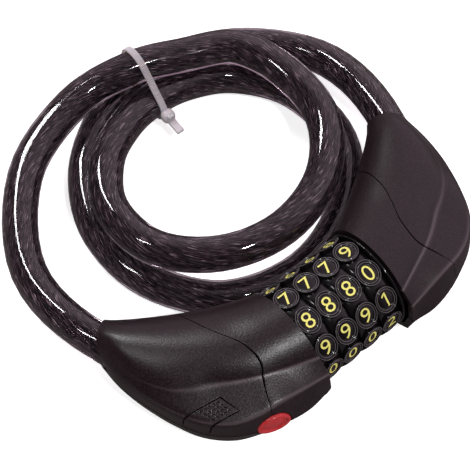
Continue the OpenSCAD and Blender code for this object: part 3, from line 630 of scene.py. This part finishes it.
def turned(name, outline, centre, axis, side, segments=72, closed=False):
    """A turned piece: an outline of (radius, height) along an axis, in millimetres."""
    third = np.cross(axis, side)
    made = bmesh.new()
    rings = []
    for r, h in outline:
        if r < 1e-6:
            rings.append([made.verts.new((np.array(centre) + h * np.array(axis) + AXIS_AT) * MM)])
            continue
        rings.append([made.verts.new((np.array(centre) + h * np.array(axis) + r * (
            math.cos(t) * np.array(side) + math.sin(t) * third) + AXIS_AT) * MM)
            for t in np.linspace(0, 2 * math.pi, segments, endpoint=False)])
    pairs = list(zip(rings, rings[1:])) + ([(rings[-1], rings[0])] if closed else [])
    for p, q in pairs:
        for k in range(segments):
            n = (k + 1) % segments
            corners = [p[k % len(p)], p[n % len(p)], q[n % len(q)], q[k % len(q)]]
            face = [c for i, c in enumerate(corners) if c not in corners[:i]]
            if len(face) > 2:
                made.faces.new(face)
    bmesh.ops.recalc_face_normals(made, faces=made.faces[:])
    mesh = bpy.data.meshes.new(name)
    made.to_mesh(mesh)
    made.free()
    return link(name, mesh)


def prism(name, outline, z_from, z_to):
    """An upright block over an outline, in millimetres over the dial axis."""
    made = bmesh.new()
    low, high = [[made.verts.new((np.array([p[0], p[1], z]) + AXIS_AT) * MM) for p in outline]
                 for z in (z_from, z_to)]
    made.faces.new(low[::-1])
    made.faces.new(high)
    for k in range(len(outline)):
        n = (k + 1) % len(outline)
        made.faces.new((low[k], low[n], high[n], high[k]))
    bmesh.ops.recalc_face_normals(made, faces=made.faces[:])
    mesh = bpy.data.meshes.new(name)
    made.to_mesh(mesh)
    made.free()
    return link(name, mesh, smooth=False)


def button_cutter():
    """The drill for the button's hole."""
    return turned("cutter", [(0, -8), (HOLE_R, -8), (HOLE_R, 4), (0, 4)], BUTTON_AT, button_out, button_side)


# the battery door and its cut-out: the way it slides off, its reach past the wall, its inner corners,
# how far each one's edges stand outside them, their lower edges, and a height over everything
DOOR_SLIDE, DOOR_REACH = np.array([-0.97, 0.243]), 22
DOOR_IN = np.array([(-47.7, -3.5), (-45.8, -10.2)])
CUTOUT_GAP, DOOR_GAP, CUTOUT_LOW, DOOR_LOW, HIGH = 0.24, -0.12, 0.6, 0.85, 25


def door_outline(gap):
    """The door's four corners from above, with its edges moved out by a gap."""
    across = np.array([-DOOR_SLIDE[1], DOOR_SLIDE[0]]) / np.hypot(*DOOR_SLIDE)
    return [DOOR_IN[0] - gap * across - gap * DOOR_SLIDE, DOOR_IN[1] + gap * across - gap * DOOR_SLIDE,
            DOOR_IN[1] + gap * across + DOOR_REACH * DOOR_SLIDE,
            DOOR_IN[0] - gap * across + DOOR_REACH * DOOR_SLIDE]


for side, body in (("lock", "lock_half"), ("plug", "plug_half")):
    dial_cover = shell(side + "_dial_cover_moulding", side, start_v, seam_v, DIAL_ROWS, False)
    cable_cover = shell(side + "_cable_cover_moulding", side, seam_far_v, end_v, CABLE_ROWS, False)
    bottom = shell(side + "_bottom_shell_moulding", side, start_v, end_v, BOTTOM_ROWS, True)
    if side == "lock":
        for piece in (dial_cover, cable_cover, bottom):
            cut_with(piece, button_cutter())
        cut_with(cable_cover, prism("cutter", door_outline(CUTOUT_GAP), CUTOUT_LOW, HIGH))
    for piece, part in ((dial_cover, "dial_cover"), (cable_cover, "cable_cover"), (bottom, "bottom_shell")):
        round_rims(piece)
        piece.data.materials.clear()
        piece.data.materials.append(charcoal_nylon)
        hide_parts(side + "_" + part)
        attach(piece, body)


# ---------------------------------------------------------------- battery door
# A hatch over the button cells, moulded in the same nylon to the cover's own curve.
# It slides off outwards, and a patch of round dimples gives the thumb its hold.
PIT_R, PIT_PITCH, PITS_LONG, PITS_WIDE, PIT_INSET, PIT_RISE = 0.52, 1.42, 5, 4, (1.9, 1.25), 0.12
SEEK_FROM = 30
door = shell("battery_door_moulding", "lock", seam_far_v, end_v, CABLE_ROWS, False, wall=0.9)
cut_with(door, prism("cutter", door_outline(DOOR_GAP), DOOR_LOW, HIGH), "INTERSECT")
pits = bmesh.new()
edge_way = unit(DOOR_IN[1] - DOOR_IN[0])
for m in range(PITS_LONG):
    for n in range(PITS_WIDE):
        flat = (DOOR_IN[0] + DOOR_SLIDE * (PIT_INSET[0] + m * PIT_PITCH)
                + edge_way * (PIT_INSET[1] + n * PIT_PITCH))
        above = (np.array([flat[0], flat[1], SEEK_FROM]) + AXIS_AT) * MM
        hit, at, _, _ = door.ray_cast(above, (0, 0, -1))
        if hit:
            bmesh.ops.create_icosphere(pits, subdivisions=2, radius=PIT_R * MM,
                                       matrix=Matrix.Translation(at + Vector((0, 0, PIT_RISE * MM))))
pit_mesh = bpy.data.meshes.new("cutter")
pits.to_mesh(pit_mesh)
pits.free()
cut_with(door, link("cutter", pit_mesh, smooth=False))
round_rims(door, 0.18)
door.data.materials.clear()
door.data.materials.append(charcoal_nylon)
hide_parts("battery_door")
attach(door, "door")


# ---------------------------------------------------------------- push button
# Injection-moulded ABS, red all through: a raised ring round a domed middle. It slides in a round hole
# in the wall, and a flange behind the wall holds it in.
BUTTON = [(0, -3.6), (2.6, -3.6), (BUTTON_R - 0.1, -3.6), (BUTTON_R, -3.3), (BUTTON_R, 0.1),
          (BUTTON_R - 0.08, 0.36), (BUTTON_R - 0.26, 0.54), (BUTTON_R - 0.5, 0.6), (BUTTON_R - 0.8, 0.58),
          (BUTTON_R - 1.05, 0.46), (BUTTON_R - 1.25, 0.2), (BUTTON_R - 1.4, -0.1), (BUTTON_R - 1.6, -0.28),
          (BUTTON_R - 1.85, -0.3), (BUTTON_R - 2.1, -0.16), (BUTTON_R - 2.35, 0.04), (BUTTON_R - 2.65, 0.2),
          (2.5, 0.32), (2.0, 0.42), (1.3, 0.5), (0.6, 0.54), (0, 0.55)]
FLANGE = [(3, -4.6), (BUTTON_R + 0.8, -4.6), (BUTTON_R + 0.85, -4.5), (BUTTON_R + 0.85, -3.6),
          (BUTTON_R + 0.8, -3.5), (3, -3.5)]
button = turned("light_button_moulding", BUTTON, BUTTON_AT, button_out, button_side, 96)
flange = turned("light_button_flange", FLANGE, BUTTON_AT, button_out, button_side, closed=True)

# red ABS, moulded satin: a slightly uneven red with soft highlights, and a faint glow at thin edges.
# The mould's own matt is too fine to show, so it is drawn at 0.8 mm.
red_abs, tree, shader = new_material("red_moulded_abs")
MOULD_MM = 0.8
mould = mottle(tree, MOULD_MM, 3.0)
bump = add(tree, "ShaderNodeBump", Strength=0.12, Distance=0.00006, Height=mould)
finish_with(tree, shader, Base_Color=ramp(tree, mould, "#b81f24", "#cf3437", 0.3, 0.75), Roughness=0.34,
            IOR=1.53, Subsurface_Weight=0.08, Subsurface_Scale=0.001, Normal=bump.outputs[0])
for piece in (button, flange):
    piece.data.materials.append(red_abs)
    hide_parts("light_button")
    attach(piece, "button")


# ---------------------------------------------------------------- button return spring
# Plated spring-steel wire, coiled. It stands between the light's board and the button's flange, and
# is squeezed as the button goes in.
SPRING_R, SPRING_WIRE, SPRING_TURNS, SPRING_BACK, SPRING_FRONT = 4.2, 0.5, 2.5, -7.23, -4.87


def spring_point(share, r=SPRING_R):
    """A point at a share of the wire's length, on the coil or, with r=0, on its axis."""
    a = 2 * math.pi * SPRING_TURNS * share
    radial = r * (math.cos(a) * button_side + math.sin(a) * np.cross(button_out, button_side))
    height = SPRING_BACK + (SPRING_FRONT - SPRING_BACK) * share
    return (BUTTON_AT + height * button_out + radial + AXIS_AT) * MM


spring = sweep("button_return_spring", [spring_point(k / 120) for k in range(121)], 12,
               lambda a: a * 0 + SPRING_WIRE / 2 * MM, over=button_out)
spring.data.materials.append(plated_steel)
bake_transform(spring)
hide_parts("button_spring")


# ---------------------------------------------------------------- number dials
# Four polycarbonate rings, polished black. Each has ten raised oval windows with a double rim and a
# domed floor, and a pad-printed digit on every floor. They turn on the slotted tube.
DIAL_PITCH = 8.3
RING_PROFILE = [(10.03, -4.05), (14.9, -4.05), (15.1, -3.98), (15.5, -3.5), (15.66, -3.1), (15.8, -2.6),
                (15.91, -2.0), (15.98, -1.2), (16.0, -0.4), (16.0, 0.4), (15.98, 1.2), (15.91, 2.0),
                (15.8, 2.6), (15.66, 3.1), (15.5, 3.5), (15.1, 3.98), (14.9, 4.05), (10.03, 4.05)]
# each ring of a window: share of the oval, height over the axis
WINDOW = [(1.0, 14.3), (1.0, 16.4), (0.994, 16.66), (0.978, 16.83), (0.955, 16.9), (0.932, 16.86),
          (0.912, 16.72), (0.895, 16.56), (0.87, 16.47), (0.845, 16.49), (0.825, 16.6), (0.805, 16.7),
          (0.782, 16.74), (0.758, 16.7), (0.74, 16.56), (0.724, 16.4), (0.7, 16.33), (0.66, 16.36),
          (0.56, 16.43), (0.42, 16.49), (0.22, 16.52), (0.1, 16.53)]
# the shares that are the tops of the two rims
CRESTS = (0.978, 0.955, 0.932, 0.805, 0.782, 0.758)
OVAL_A, OVAL_B, OVAL_STEPS = 4.0, 4.55, 56
# the first window's turn from the top, the turn to the next, and the digit that each dial shows first
FIRST_TURN, NEXT_TURN, FIRST_DIGIT = -59, 36, {1: 6, 2: 6, 3: 6, 4: 8}
DIGIT_HIGH, DIGIT_WIDE, DIGIT_AT = 5.1, 3.3, 16.56

# polished polycarbonate: deep black with sharp reflections that handling has smeared, and a painted
# grey highlight on the crests of the windows' rims
black_polycarbonate, tree, shader = new_material("polished_black_polycarbonate")
SMEAR_MM = 3.0
smear = mottle(tree, SMEAR_MM, 4.0)
gloss = add(tree, "ShaderNodeMapRange", Value=smear, To_Min=0.09, To_Max=0.2)
# painted highlight: the crests of the windows' rims are mixed towards grey
rim = add(tree, "ShaderNodeAttribute", {"attribute_name": "painted_rim_highlight"})
rim_highlight_share = add(tree, "ShaderNodeMath", {"operation": "MULTIPLY"}, _0=rim.outputs["Fac"], _1=0.6)
rim_highlighted = add(tree, "ShaderNodeMix", {"data_type": "RGBA"}, _0=rim_highlight_share.outputs[0],
             _6=ramp(tree, smear, "#0b090b", "#161315"), _7=linear("#6a6567"))
finish_with(tree, shader, Base_Color=rim_highlighted.outputs[2], Roughness=gloss.outputs[0], IOR=1.45)

# pad-printing ink: thin and matt, pale yellow, a little uneven where the black shows through. The
# specks are drawn at 0.6 mm, because real ones are too fine to show.
yellow_ink, tree, shader = new_material("pad_printed_yellow_ink")
PRINT_MM = 0.6
finish_with(tree, shader, Roughness=0.5,
            Base_Color=ramp(tree, mottle(tree, PRINT_MM), "#e3dd68", "#f4ef86", 0.3, 0.7))


# a one of two straight strokes, where the built-in font's is only an upright
ONE = [(0.58, 2.55), (0.08, 2.55), (-1.1, 1.72), (-1.1, 1.08), (-0.02, 1.76), (-0.02, -2.55), (0.58, -2.55)]


def digit_outline(figure):
    """A plain digit as a mesh, centred, in millimetres."""
    if figure == "1":
        made = bmesh.new()
        made.faces.new([made.verts.new((x, y, 0)) for x, y in ONE[::-1]])
        return made
    curve = bpy.data.curves.new("figure", "FONT")
    curve.body, curve.size, curve.resolution_u, curve.offset = figure, 1.0, 6, -0.005
    carrier = bpy.data.objects.new("figure", curve)
    scene.collection.objects.link(carrier)
    mesh = bpy.data.meshes.new_from_object(carrier.evaluated_get(bpy.context.evaluated_depsgraph_get()))
    bpy.data.objects.remove(carrier)
    made = bmesh.new()
    made.from_mesh(mesh)
    bpy.data.meshes.remove(mesh)
    low = [min(v.co[i] for v in made.verts) for i in (0, 1)]
    high = [max(v.co[i] for v in made.verts) for i in (0, 1)]
    for v in made.verts:
        v.co = Vector(((v.co[0] - (low[0] + high[0]) / 2) * DIGIT_WIDE / (high[0] - low[0]),
                       (v.co[1] - (low[1] + high[1]) / 2) * DIGIT_HIGH / (high[1] - low[1]), 0))
    return made


def facet_point(x, up, height, turn, dial_x):
    """A point of a window: across the dial, round it towards the last digit, and over the axis."""
    a = math.radians(turn)
    return (np.array([dial_x + x, up * math.cos(a) - height * math.sin(a),
                      up * math.sin(a) + height * math.cos(a)]) + AXIS_AT) * MM


for dial in (1, 2, 3, 4):
    dial_x = (dial - 2.5) * DIAL_PITCH
    body = turned("dial_%d_ring" % dial, RING_PROFILE, (dial_x, 0, 0), (1, 0, 0), (0, 1, 0), 120, closed=True)
    windows = bmesh.new()
    windows.from_mesh(body.data)
    rim_highlight_layer = windows.verts.layers.float.new("painted_rim_highlight")
    ink_faces = bmesh.new()
    for k in range(10):
        turn = FIRST_TURN + NEXT_TURN * k
        rings = [[windows.verts.new(facet_point(
            OVAL_A * s * math.cos(t), OVAL_B * s * math.sin(t), h, turn, dial_x))
            for t in np.linspace(0, 2 * math.pi, OVAL_STEPS, endpoint=False)] for s, h in WINDOW]
        # the rims' crests are marked for the painted grey highlight
        for (s, _), ring in zip(WINDOW, rings):
            for v in ring:
                v[rim_highlight_layer] = float(s in CRESTS)
        for p, q in zip(rings, rings[1:]):
            for n in range(OVAL_STEPS):
                after = (n + 1) % OVAL_STEPS
                windows.faces.new((p[n], p[after], q[after], q[n]))
        windows.faces.new(rings[-1])
        windows.faces.new(rings[0][::-1])
        figure = digit_outline(str((k + FIRST_DIGIT[dial]) % 10))
        for v in figure.verts:
            v.co = Vector(facet_point(v.co[0], v.co[1], DIGIT_AT, turn, dial_x))
        merge(ink_faces, figure)
    windows.to_mesh(body.data)
    windows.free()
    body.data.polygons.foreach_set("use_smooth", [True] * len(body.data.polygons))
    body.data.materials.append(black_polycarbonate)
    mesh = bpy.data.meshes.new("dial_%d_digits" % dial)
    ink_faces.to_mesh(mesh)
    ink_faces.free()
    figures = link("dial_%d_digits" % dial, mesh, smooth=False)
    figures.data.materials.append(yellow_ink)
    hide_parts("dial_%d" % dial)
    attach(body, "number_%d" % dial)
    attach(figures, "number_%d" % dial)


# ---------------------------------------------------------------- dial end ring
# A black flange of the same plastic, pressed on the tube's end. It keeps the dials on, and the plug
# half closes against it.
END_RING = [(7.02, 16.7), (16.6, 16.7), (17.15, 16.74), (17.33, 16.86), (17.4, 17.05), (17.38, 17.3),
            (17.25, 17.45), (16.95, 17.52), (16.8, 17.6), (16.75, 17.9), (16.6, 18.0), (7.02, 18.0)]
end_ring = turned("dial_end_flange", END_RING, (0, 0, 0), (1, 0, 0), (0, 1, 0), 128, closed=True)
end_ring.data.materials.append(black_polycarbonate)
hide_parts("dial_end_ring")
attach(end_ring, "lock_half")


# ---------------------------------------------------------------- light
# Behind the button: a small fibreglass circuit board with a lamp on it, two steel button cells, and a
# sprung brass contact under them. The board is held by the core, and the cells lie under the door.

# woven glass in epoxy under green solder mask: satin green with a cross-hatch. The real weave is about
# 0.5 mm, too fine to show, so it is drawn at 2.4 mm.
fibreglass, tree, shader = new_material("green_solder_mask_on_fibreglass")
WEAVE_MM = 2.4
place = add(tree, "ShaderNodeTexCoord")
weave = add(tree, "ShaderNodeTexBrick", Vector=place.outputs["Object"], Scale=1000 / WEAVE_MM,
            Color1=linear("#1d6a3c"), Color2=linear("#237446"), Mortar=linear("#17552f"))
finish_with(tree, shader, Base_Color=weave.outputs[0], Roughness=0.35)

# cast epoxy over the lamp's phosphor: glossy cream with slow swirls
lamp_resin, tree, shader = new_material("cast_epoxy_lamp")
SWIRL_MM = 1.5
finish_with(tree, shader, Base_Color=ramp(tree, mottle(tree, SWIRL_MM), "#e9e4c4", "#fbf8e6"),
            Roughness=0.1, IOR=1.54)
dress(fibreglass, "light_board")
dress(lamp_resin, "light_led")
dress(plated_steel, "light_cells")
dress(cam_brass, "cell_contact")


# ---------------------------------------------------------------- floor and lights
# A pale paper floor that stays white to the camera and keeps a faint shadow, a room that is bright on
# one side, and three soft lamps.
FLOOR_HALF, FLOOR_DROP = 4, 0.0002

# studio paper: matt and nearly white, with a faint mottle, and darker where glossy pieces mirror it
sweep_white, tree, shader = new_material("studio_paper")
PAPER_MM = 16.667
rays = add(tree, "ShaderNodeLightPath")
dimmed = add(tree, "ShaderNodeMix", {"data_type": "RGBA"}, _0=rays.outputs["Is Glossy Ray"],
             _6=ramp(tree, mottle(tree, PAPER_MM), "#f2f2f2", "#f8f8f8"), _7=linear("#77706f"))
finish_with(tree, shader, Base_Color=dimmed.outputs[2], Roughness=0.9)
seen = add(tree, "ShaderNodeMath", {"operation": "MAXIMUM"}, _0=rays.outputs["Is Camera Ray"],
           _1=rays.outputs["Is Transmission Ray"])
glow = add(tree, "ShaderNodeMath", {"operation": "MULTIPLY"}, _0=seen.outputs[0], _1=0.75)
finish_with(tree, shader, Emission_Strength=glow.outputs[0], Emission_Color=(1, 1, 1, 1))
floor_mesh = bpy.data.meshes.new("studio_floor")
floor_mesh.from_pydata([(FLOOR_HALF * x, FLOOR_HALF * y, 0) for x, y in ((-1, -1), (1, -1), (1, 1), (-1, 1))],
                       [], [(0, 1, 2, 3)])
floor = link("studio_floor", floor_mesh, smooth=False)
floor.location = (0, 0, -FLOOR_DROP)
floor.data.materials.append(sweep_white)

world = bpy.data.worlds.new("studio")
scene.world = world
world.use_nodes = True
tree = world.node_tree
rays = add(tree, "ShaderNodeLightPath")
facing = add(tree, "ShaderNodeVectorMath", {"operation": "DOT_PRODUCT"},
             _0=add(tree, "ShaderNodeTexCoord").outputs["Generated"], _1=(0.95, 0.05, 0.3))
room = add(tree, "ShaderNodeMapRange", Value=facing.outputs["Value"], From_Min=0.15, From_Max=0.75,
           To_Min=0.06)
strength = add(tree, "ShaderNodeMix", {"data_type": "FLOAT"}, _0=rays.outputs["Is Camera Ray"],
               _2=room.outputs[0], _3=1.0)
tone = add(tree, "ShaderNodeMix", {"data_type": "RGBA"}, _0=rays.outputs["Is Camera Ray"],
           _6=linear("#f4dfec"), _7=linear("#ffffff"))
finish_with(tree, tree.nodes["Background"], Strength=strength.outputs[0], Color=tone.outputs[2])

LAMPS_AIM = Vector((0, 0.03, 0))


def softbox(name, place, size, watts):
    """A rectangular soft lamp that is aimed at the middle of the lock."""
    lamp = bpy.data.lights.new(name, "AREA")
    lamp.shape, lamp.size, lamp.size_y, lamp.energy = "RECTANGLE", size[0], size[1], watts
    holder = bpy.data.objects.new(name, lamp)
    scene.collection.objects.link(holder)
    holder.location = place
    holder.rotation_euler = (LAMPS_AIM - Vector(place)).to_track_quat("-Z", "Y").to_euler()


softbox("back_softbox", (-0.08, 0.95, 0.9), (0.17, 0.55), 7.5)
softbox("front_softbox", (-0.12, -0.57, 1.11), (0.1, 0.08), 7)
softbox("side_softbox", (-0.6, 0.36, 1.1), (0.11, 0.26), 2.1)

scene.view_settings.view_transform = "Standard"
